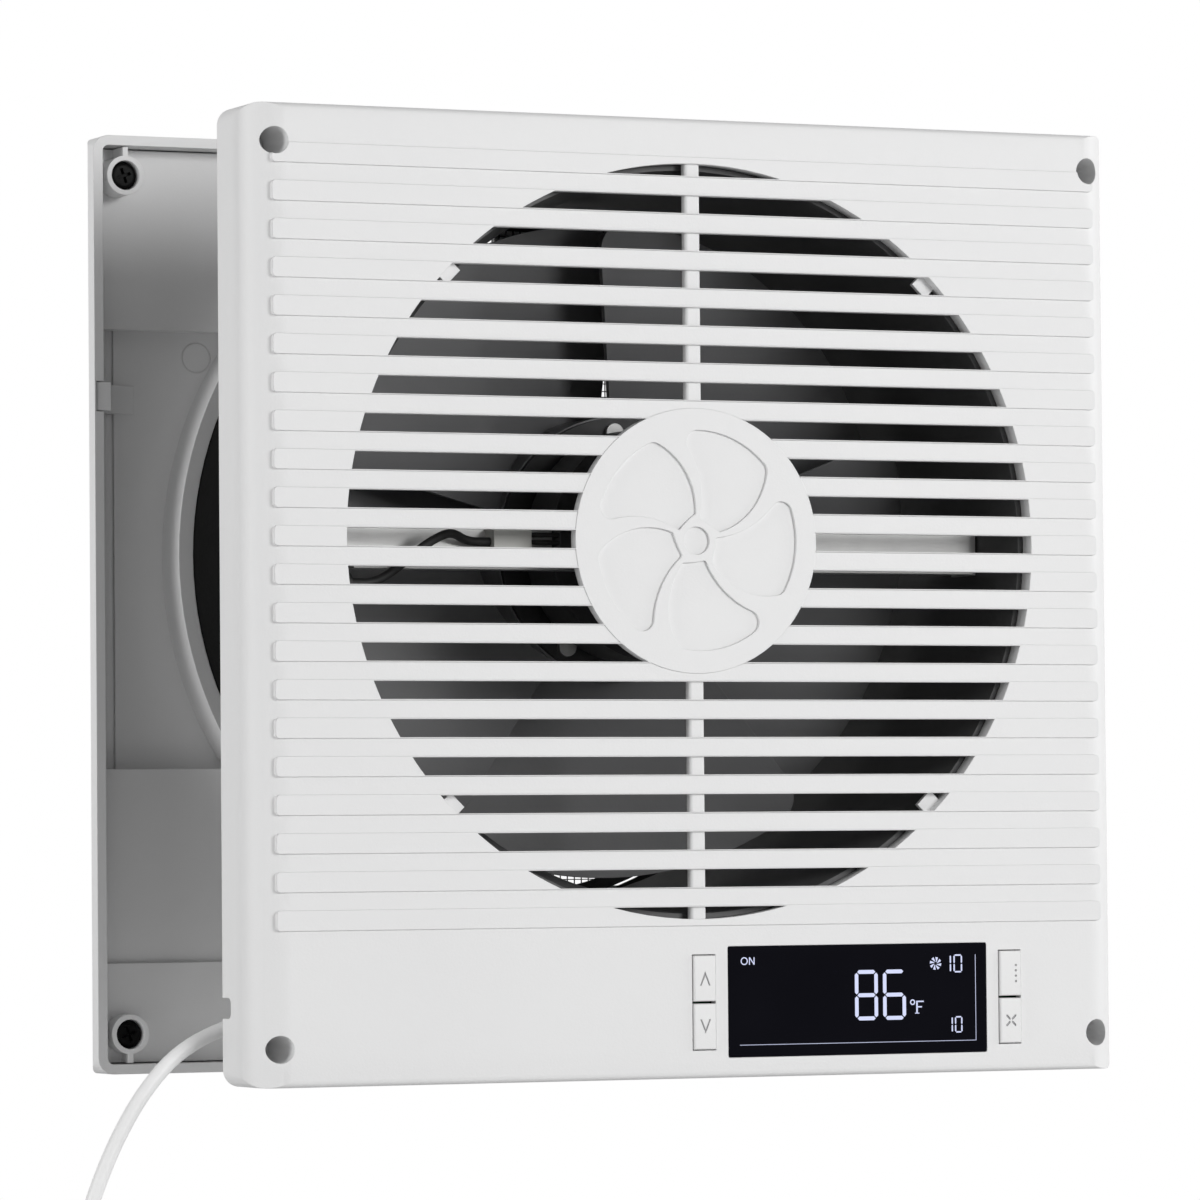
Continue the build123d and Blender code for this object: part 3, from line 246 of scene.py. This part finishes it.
soft = Finish("soft_white_vinyl")
soft_spots = soft.noise(90.0)
soft_material = soft.surface(
    Base_Color=soft.tint(soft_spots, (0.73, 0.73, 0.73), (0.79, 0.79, 0.79)),
    Roughness=0.45 + soft_spots * 0.1, Normal=soft.grain(soft.noise(1600.0), 0.00004, 0.0004))
dress("cord_gland", soft_material)
plug = dress("plug_body", soft_material)

brass = Finish("plug_brass")
brass_streaks = brass.noise(300.0, 3.0, (1.0, 1.0, 0.1))
blades = dress("plug_blades", brass.surface(
    Base_Color=brass.tint(brass_streaks, (0.62, 0.50, 0.28), (0.72, 0.60, 0.36)), Metallic=1.0,
    Roughness=0.22 + brass_streaks * 0.15))
rubber = Finish("black_rubber")
rubber_spots = rubber.noise(400.0, 3.0)
rubber_material = rubber.surface(
    Base_Color=rubber.tint(rubber_spots, (0.014, 0.014, 0.014), (0.024, 0.024, 0.024)),
    Roughness=0.5 + rubber_spots * 0.2, Normal=rubber.grain(rubber_spots, 0.00006, 0.0002))
tie = dress("cord_tie", rubber_material)

# White shells and trays of both units: injection moulded, with a fine spark-eroded grain.
# Their edges are slightly round, and the trays are the same plastic as the shells.
shell = Finish("white_moulded_plastic")
shell_clouds = shell.noise(14.0, 3.0)
shell_grain = shell.noise(1500.0, 2.0)
shell_material = shell.surface(
    Base_Color=shell.tint(shell_clouds, (0.765, 0.765, 0.768), (0.80, 0.80, 0.80)),
    Roughness=0.40 + shell_grain * 0.16, Specular_IOR_Level=0.4,
    Normal=shell.grain(shell_grain, 0.00003, 0.00035))
for node in ("front_cover", "front_frame", "rear_cover", "rear_frame"):
    dress(node, shell_material)

# Push buttons: four white caps with engraved signs, coloured grey at the bottom of the engraving.
# Each cap slides in its window of the shell.
sign_floor_depth, sign_floor_facing = -23.65, -0.7
cap = Finish("button_plastic_grey_engraving")
cap_grain = cap.noise(1500.0)
cap_split = cap.node("ShaderNodeSeparateXYZ", inputs={0: cap.place()}, output="Y")
cap_facing = cap.node("ShaderNodeSeparateXYZ", inputs={
    0: cap.node("ShaderNodeNewGeometry", output="True Normal")}, output="Y")
# Grey goes on faces that lie deeper than the given depth and face the front, which are the floors of
# the engraved signs.
grey_sign_floors = (cap_split > sign_floor_depth * MM) * (cap_facing < sign_floor_facing)
cap_material = cap.surface(
    Base_Color=cap.tint(grey_sign_floors, (0.78, 0.78, 0.78), (0.36, 0.36, 0.37)),
    Roughness=0.38 + cap_grain * 0.14,
    Normal=cap.grain(cap_grain, 0.00003, 0.0002))
for node in ("button_up", "button_down", "button_mode", "button_speed"):
    dress(node, cap_material)

# Display: a black glossy window, with the lit figures just under its surface.
# The figures are seven-segment numbers and small signs, with a thin line under and right of them.
glass = Finish("black_display_window")
glass_haze = glass.noise(35.0, 2.0)
dress("display_lens", glass.surface(
    Base_Color=glass.tint(glass_haze, (0.002, 0.002, 0.004), (0.004, 0.004, 0.007)),
    Roughness=0.06 + glass_haze * 0.05, Specular_IOR_Level=0.03))
dark = Finish("dark_moulded_plastic")
dark_spots = dark.noise(500.0, 3.0)
dark_material = dark.surface(
    Base_Color=dark.tint(dark_spots, (0.012, 0.012, 0.013), (0.020, 0.020, 0.021)),
    Roughness=0.42 + dark_spots * 0.16, Normal=dark.grain(dark_spots, 0.00004, 0.0003))
dress("lcd_panel", dark_material)

figures_y, figure_depth = -23.06, 0.05
segment_gap = 0.22
# Segments of each digit: top, upper left, upper right, middle, lower left, lower right, bottom.
digit_segments = {"0": "1110111", "1": "0010010", "6": "1101111", "8": "1111111"}


def segment_shapes(digit, left, right, low, high, stroke):
    """Slim hexagons of one seven-segment digit, between its edges."""
    middle, half, gap = (low + high) / 2, stroke / 2, stroke * segment_gap
    levels = {0: high - half, 3: middle, 6: low + half}
    uprights = {1: (left + half, middle, high - half), 2: (right - half, middle, high - half),
                4: (left + half, low + half, middle), 5: (right - half, low + half, middle)}
    shapes = []
    for number, lit in enumerate(digit_segments[digit]):
        if lit == "0":
            continue
        if number in levels:
            z = levels[number]
            a, b = left + half + gap, right - half - gap
            shapes.append([(a, z), (a + half, z - half), (b - half, z - half), (b, z),
                           (b - half, z + half), (a + half, z + half)])
        else:
            x, a, b = uprights[number]
            a, b = a + gap, b - gap
            shapes.append([(x, a), (x + half, a + half), (x + half, b - half), (x, b),
                           (x - half, b - half), (x - half, a + half)])
    return shapes


def ring_shapes(middle, outer, inner):
    """A ring as a row of small four-sided tiles."""
    turns = [2 * math.pi * number / ring_tiles for number in range(ring_tiles + 1)]
    return [[(middle[0] + radius * math.cos(turn), middle[1] + radius * math.sin(turn))
             for radius, turn in ((inner, a), (outer, a), (outer, b), (inner, b))]
            for a, b in zip(turns, turns[1:])]


# Each digit's figure, left, right, low and high edge and stroke; all places here are in mm.
digit_places = [
    ("8", 50.5, 58.1, -125.0, -110.1, 1.15), ("6", 59.8, 67.4, -125.0, -110.1, 1.15),
    ("1", 79.6, 82.6, -111.3, -105.9, 0.45), ("0", 83.4, 86.3, -111.3, -105.9, 0.45),
    ("1", 80.4, 83.0, -129.2, -124.3, 0.42), ("0", 83.7, 86.2, -129.2, -124.3, 0.42),
]
ring_tiles = 20
degree_sign = ((69.6, -119.9), 0.85, 0.5)
letter_o = ((14.25, -106.9), 1.15, 0.85)
letter_f = [((70.8, -123.3), (71.3, -119.5)), ((70.8, -119.9), (73.3, -119.5)),
            ((70.8, -121.5), (72.7, -121.1)), ((70.4, -123.3), (71.8, -123.05))]
letter_n = [((15.8, -108.0), (16.1, -105.8)), ((17.3, -108.0), (17.6, -105.8))]
letter_n_slant = [(15.8, -105.8), (17.3, -108.0), (17.6, -108.0), (16.15, -105.8)]
fan_sign_middle, fan_sign_petals = (77.4, -108.5), 8
fan_sign_petal = ((0.45, 0.0), (1.95, 0.35), (1.9, 0.8), (0.5, 0.3))

figure_shapes = []
for place in digit_places:
    figure_shapes += segment_shapes(*place)
figure_shapes += ring_shapes(*degree_sign) + ring_shapes(*letter_o)
for (left, low), (right, high) in letter_f + letter_n:
    figure_shapes.append([(left, low), (right, low), (right, high), (left, high)])
figure_shapes.append(letter_n_slant)
for petal in range(fan_sign_petals):
    start = 2 * math.pi * petal / fan_sign_petals
    figure_shapes.append([(fan_sign_middle[0] + radius * math.cos(start + turn),
                           fan_sign_middle[1] + radius * math.sin(start + turn))
                          for radius, turn in fan_sign_petal])

line_left, line_right, line_low, line_high = 12.6, 90.8, -131.6, -106.0
line_width = 0.14
line_shapes = [[(a, c), (b, c), (b, d), (a, d)] for a, b, c, d in (
    (line_left, line_right, line_low, line_low + line_width),
    (line_right - line_width, line_right, line_low + line_width, line_high))]

shape = bmesh.new()
for outline in figure_shapes + line_shapes:
    front = [shape.verts.new(Vector((x, figures_y, z)) * MM) for x, z in outline]
    shape.faces.new(front)
bmesh.ops.recalc_face_normals(shape, faces=shape.faces)
made = bmesh.ops.extrude_face_region(shape, geom=list(shape.faces))
moved = [item for item in made["geom"] if isinstance(item, bmesh.types.BMVert)]
bmesh.ops.translate(shape, verts=moved, vec=Vector((0, figure_depth, 0)) * MM)
bmesh.ops.recalc_face_normals(shape, faces=shape.faces)
figures_mesh = bpy.data.meshes.new("display_figures")
shape.to_mesh(figures_mesh)
shape.free()
lit = Finish("lit_figures")
lit_glow = lit.noise(800.0, 1.0)
figures_mesh.materials.append(lit.surface(
    Base_Color=(0.05, 0.05, 0.06, 1.0), Roughness=0.4,
    Emission_Color=lit.tint(lit_glow, (0.58, 0.63, 0.90), (0.66, 0.71, 0.97)), Emission_Strength=0.9))
figures = bpy.data.objects.new("display_figures", figures_mesh)
bpy.context.collection.objects.link(figures)
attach(figures, "front_unit")

# Telescoping sleeve: two ducts of moulded plastic, one inside the other, black and dark grey.
# The grey inner one flares behind the grille and carries the motor's strap.
duct = Finish("black_duct_plastic")
duct_grain = duct.noise(700.0, 2.0)
dress("rear_sleeve", duct.surface(
    Base_Color=duct.tint(duct_grain, (0.004, 0.004, 0.004), (0.007, 0.007, 0.007)),
    Roughness=0.55 + duct_grain * 0.15, Specular_IOR_Level=0.04,
    Normal=duct.grain(duct_grain, 0.00003)))
mouth = Finish("dark_grey_duct_plastic")
mouth_grain = mouth.noise(700.0, 2.0)
dress("front_sleeve", mouth.surface(
    Base_Color=mouth.tint(mouth_grain, (0.05, 0.05, 0.051), (0.07, 0.07, 0.071)),
    Roughness=0.45 + mouth_grain * 0.15, Normal=mouth.grain(mouth_grain, 0.00003, 0.0003)))

# Fan: a hub cup and five wide blades of dark grey plastic on a black steel disc with five screws.
# The motor's shaft carries them, and a nut holds the cup.
vane = Finish("dark_grey_blade_plastic")
vane_clouds = vane.noise(40.0, 3.0)
dress("impeller", vane.surface(
    Base_Color=vane.tint(vane_clouds, (0.17, 0.17, 0.175), (0.22, 0.22, 0.225)),
    Roughness=0.34 + vane_clouds * 0.1, Normal=vane.grain(vane.noise(900.0), 0.00003, 0.0003)))
dress("hub_plate", dark_material)

# Bright parts: the zinc-plated strap across the sleeve, its screws, the shaft and the bearings.
# The rolled sheet shows fine streaks along the strap.
zinc = Finish("zinc_plated_steel")
zinc_streaks = zinc.noise(180.0, 4.0, (0.05, 1.0, 1.0))
zinc_spangle = zinc.noise(120.0, 2.0)
zinc_material = zinc.surface(
    Base_Color=zinc.tint(zinc_spangle, (0.46, 0.46, 0.46), (0.58, 0.58, 0.57)), Metallic=1.0,
    Roughness=0.42 + zinc_streaks * 0.22, Normal=zinc.grain(zinc_streaks, 0.00003, 0.0002))
for node in ("motor_bracket", "bracket_screws", "motor_screws", "hub_screws", "frame_screws",
             "board_screws", "motor_shaft", "shaft_nut", "motor_bearings"):
    dress(node, zinc_material)

# Motor: a black painted can with its lid; inside are the iron rings of stator and rotor.
# The paint is a thin satin coat with a slight orange peel.
paint = Finish("black_can_paint")
paint_peel = paint.noise(260.0, 2.0)
paint_material = paint.surface(
    Base_Color=paint.tint(paint_peel, (0.03, 0.03, 0.031), (0.045, 0.045, 0.046)),
    Roughness=0.32 + paint_peel * 0.12, Normal=paint.grain(paint_peel, 0.00008, 0.0003))
for node in ("motor_housing", "motor_end_cap"):
    dress(node, paint_material)
iron = Finish("laminated_iron")
iron_layers = iron.noise(150.0, 2.0, (0.2, 8.0, 0.2))
iron_material = iron.surface(
    Base_Color=iron.tint(iron_layers, (0.10, 0.09, 0.08), (0.24, 0.22, 0.20)), Metallic=0.8,
    Roughness=0.5 + iron_layers * 0.2, Normal=iron.grain(iron_layers, 0.0001))
for node in ("motor_stator", "motor_rotor"):
    dress(node, iron_material)

# Screws of the far tray: cross-head, in black oxide steel that hardly shines.
# They sit at the bottom of the bosses in the tray's four corners.
oxide = Finish("black_oxide_steel")
oxide_spots = oxide.noise(900.0, 2.0)
dress("rear_screws", oxide.surface(
    Base_Color=oxide.tint(oxide_spots, (0.004, 0.004, 0.004), (0.008, 0.008, 0.008)),
    Roughness=0.3 + oxide_spots * 0.15, Specular_IOR_Level=0.05,
    Normal=oxide.grain(oxide_spots, 0.00004, 0.0002)))

# Cable to the motor: black sheathed, with a rubber bush in the sleeve's wall.
# It ends in a small nylon plug that lies in the strap's channel.
for node in ("motor_cable", "motor_leads", "cable_grommet"):
    dress(node, rubber_material)
nylon = Finish("natural_nylon")
nylon_clouds = nylon.noise(200.0, 2.0)
nylon_material = nylon.surface(
    Base_Color=nylon.tint(nylon_clouds, (0.66, 0.66, 0.62), (0.76, 0.76, 0.72)),
    Roughness=0.38 + nylon_clouds * 0.1, Normal=nylon.grain(nylon_clouds, 0.00003, 0.0002))
dress("cable_connector", nylon_material)

# Electronics: two green boards, the small parts on them, and the ribbon and wires between.
# They are shut in behind the display and are only seen with the unit opened.
board = Finish("green_solder_mask")
board_clouds = board.noise(350.0, 3.0)
board_material = board.surface(
    Base_Color=board.tint(board_clouds, (0.010, 0.075, 0.030), (0.016, 0.110, 0.045)),
    Roughness=0.28 + board_clouds * 0.1, Normal=board.grain(board_clouds, 0.00002, 0.0002))
for node in ("control_board", "power_board"):
    dress(node, board_material)
for node in ("tact_switches", "power_parts"):
    dress(node, dark_material)
for node in ("board_link", "mains_wires"):
    dress(node, nylon_material)

# Screen behind the far grille: black wires woven in a fine square mesh inside a plain rim.
# One row of bars is laid along each axis and cut to the round rim's chords.
screen_low, screen_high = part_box("rear_screen")
screen_middle = (Vector(screen_low) + Vector(screen_high)) / 2
screen_pitch, screen_wire, wire_shift = 0.0024, 0.0003, 0.0001
rim_width, wires_under_rim, rim_steps = 0.004, 0.002, 96
rim_outer = (screen_high[0] - screen_low[0]) / 2
screen_radius = rim_outer - wires_under_rim


def wire_tree():
    """Bars at an even pitch, each as long as the chord of the circle at its place, in two rows."""
    tree = bpy.data.node_groups.new("round_wire_mesh", "GeometryNodeTree")
    for name in ("Radius", "Pitch", "Wire"):
        tree.interface.new_socket(name, in_out="INPUT", socket_type="NodeSocketFloat")
    tree.interface.new_socket("Geometry", in_out="OUTPUT", socket_type="NodeSocketGeometry")

    def node(kind, settings=None, inputs=None):
        added = tree.nodes.new(kind)
        for key, value in (settings or {}).items():
            setattr(added, key, value)
        for key, value in (inputs or {}).items():
            if isinstance(value, bpy.types.NodeSocket):
                tree.links.new(value, added.inputs[key])
            else:
                added.inputs[key].default_value = value
        return added

    def maths(operation, first, second=0.0):
        return node("ShaderNodeMath", {"operation": operation}, {0: first, 1: second}).outputs[0]

    given = node("NodeGroupInput").outputs
    width = maths("MULTIPLY", given["Radius"], 2.0)
    count = maths("FLOOR", maths("DIVIDE", width, given["Pitch"]))
    first = maths("MULTIPLY", maths("SUBTRACT", count, 1.0), maths("MULTIPLY", given["Pitch"], -0.5))
    start = node("ShaderNodeCombineXYZ", inputs={"X": first})
    offset = node("ShaderNodeCombineXYZ", inputs={"X": given["Pitch"]})
    line = node("GeometryNodeMeshLine", {"mode": "OFFSET"},
                {"Count": count, "Start Location": start.outputs[0], "Offset": offset.outputs[0]})
    place = node("ShaderNodeSeparateXYZ", inputs={0: node("GeometryNodeInputPosition").outputs[0]})
    squared = maths("SUBTRACT", maths("MULTIPLY", given["Radius"], given["Radius"]),
                    maths("MULTIPLY", place.outputs["X"], place.outputs["X"]))
    chord = maths("MULTIPLY", maths("SQRT", squared), 2.0)
    size = node("ShaderNodeCombineXYZ", inputs={"X": given["Wire"], "Y": given["Wire"], "Z": 1.0})
    bar = node("GeometryNodeMeshCube", inputs={"Size": size.outputs[0]})
    scale = node("ShaderNodeCombineXYZ", inputs={"X": 1.0, "Y": 1.0, "Z": chord})
    row = node("GeometryNodeInstanceOnPoints", inputs={
        "Points": line.outputs[0], "Instance": bar.outputs[0], "Scale": scale.outputs[0]})
    shift = node("ShaderNodeCombineXYZ", inputs={"Y": given["Wire"]})
    turned = node("GeometryNodeTransform", inputs={
        "Geometry": row.outputs[0], "Rotation": (0.0, math.pi / 2, 0.0),
        "Translation": shift.outputs[0]})
    both = node("GeometryNodeJoinGeometry")
    tree.links.new(row.outputs[0], both.inputs[0])
    tree.links.new(turned.outputs[0], both.inputs[0])
    real = node("GeometryNodeRealizeInstances", inputs={0: both.outputs[0]})
    node("NodeGroupOutput", inputs={"Geometry": real.outputs[0]})
    return tree


screen = bpy.data.objects.new("screen_maker", bpy.data.meshes.new("screen_maker"))
bpy.context.collection.objects.link(screen)
maker = screen.modifiers.new("wires", "NODES")
maker.node_group = wire_tree()
sizes = {"Radius": screen_radius, "Pitch": screen_pitch, "Wire": screen_wire}
for item in maker.node_group.interface.items_tree:
    if item.in_out == "INPUT":
        maker[item.identifier] = sizes[item.name]
bpy.context.view_layer.update()
woven = bpy.data.meshes.new_from_object(screen.evaluated_get(bpy.context.evaluated_depsgraph_get()))
bpy.data.objects.remove(screen)
woven.transform(Matrix.Translation(screen_middle - Vector((0, wire_shift, 0))))
rim = bmesh.new()
rim_inner = rim_outer - rim_width
rim_turns = [2 * math.pi * step / rim_steps for step in range(rim_steps)]
rings = []
for radius, y in ((rim_outer, screen_low[1]), (rim_outer, screen_high[1]),
                  (rim_inner, screen_high[1]), (rim_inner, screen_low[1])):
    rings.append([rim.verts.new((screen_middle.x + radius * math.cos(turn), y,
                                 screen_middle.z + radius * math.sin(turn)))
                  for turn in rim_turns])
for inner, outer in zip(rings, rings[1:] + rings[:1]):
    for step in range(rim_steps):
        follow = (step + 1) % rim_steps
        rim.faces.new((inner[step], inner[follow], outer[follow], outer[step]))
bmesh.ops.recalc_face_normals(rim, faces=rim.faces)
rim.from_mesh(woven)
rim.to_mesh(woven)
rim.free()
rear_mesh = bpy.data.objects.new("rear_wire_screen", woven)
woven.materials.clear()  # the made mesh starts with an empty slot, which its faces use
woven.materials.append(dark_material)
bpy.context.collection.objects.link(rear_mesh)
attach(rear_mesh, "rear_unit")
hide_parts("rear_screen")

# Studio: a pale floor far below, a white surround for the camera, and three large soft lamps.
# The main lamp stands front right, so the front unit shades the tray behind its left edge.
floor_mesh = bpy.data.meshes.new("floor")
floor_level, floor_reach = -0.32, 1.6
floor_shape = bmesh.new()
bmesh.ops.create_circle(floor_shape, cap_ends=True, segments=96, radius=floor_reach)
bmesh.ops.translate(floor_shape, verts=floor_shape.verts, vec=(0, 0, floor_level))
floor_shape.to_mesh(floor_mesh)
floor_shape.free()
pale = Finish("pale_floor")
pale_clouds = pale.noise(3.0)
floor_mesh.materials.append(pale.surface(
    Base_Color=pale.tint(pale_clouds, (0.80, 0.80, 0.80), (0.83, 0.83, 0.83)),
    Roughness=0.7 + pale_clouds * 0.1))
floor = bpy.data.objects.new("floor", floor_mesh)
bpy.context.collection.objects.link(floor)

# The camera, and rays that mirror or pass through, see a white surround; matt surfaces get less.
light_on_matt, light_when_seen = 0.23, 1.0
world = bpy.data.worlds.new("surround")
bpy.context.scene.world = world
world.use_nodes = True
world_nodes, world_links = world.node_tree.nodes, world.node_tree.links
world_nodes.clear()
ray_kinds = world_nodes.new("ShaderNodeLightPath").outputs
seen = ray_kinds["Is Camera Ray"]
for kind in ("Is Glossy Ray", "Is Transmission Ray"):
    either = world_nodes.new("ShaderNodeMath")
    either.operation = "ADD"
    either.use_clamp = True
    world_links.new(seen, either.inputs[0])
    world_links.new(ray_kinds[kind], either.inputs[1])
    seen = either.outputs[0]
strength = world_nodes.new("ShaderNodeMapRange")
strength.inputs["To Min"].default_value = light_on_matt
strength.inputs["To Max"].default_value = light_when_seen
world_links.new(seen, strength.inputs["Value"])
surround = world_nodes.new("ShaderNodeBackground")
surround.inputs["Color"].default_value = (1.0, 1.0, 1.0, 1.0)
world_links.new(strength.outputs[0], surround.inputs["Strength"])
world_end = world_nodes.new("ShaderNodeOutputWorld")
world_links.new(surround.outputs[0], world_end.inputs["Surface"])

# Each lamp's name, place and width in metres, and power in watts.
lamps = (("front", (0.9, -2.4, 0.5), 1.0, 35.0), ("right", (1.9, -0.5, 0.3), 0.9, 9.0),
         ("left", (-2.1, -0.15, 0.3), 0.9, 18.0))
for name, place, size, power in lamps:
    lamp = bpy.data.lights.new(name, "AREA")
    lamp.shape = "DISK"
    lamp.size = size
    lamp.energy = power
    stand = bpy.data.objects.new(name, lamp)
    stand.location = place
    stand.rotation_euler = (-Vector(place)).to_track_quat("-Z", "Y").to_euler()
    bpy.context.collection.objects.link(stand)
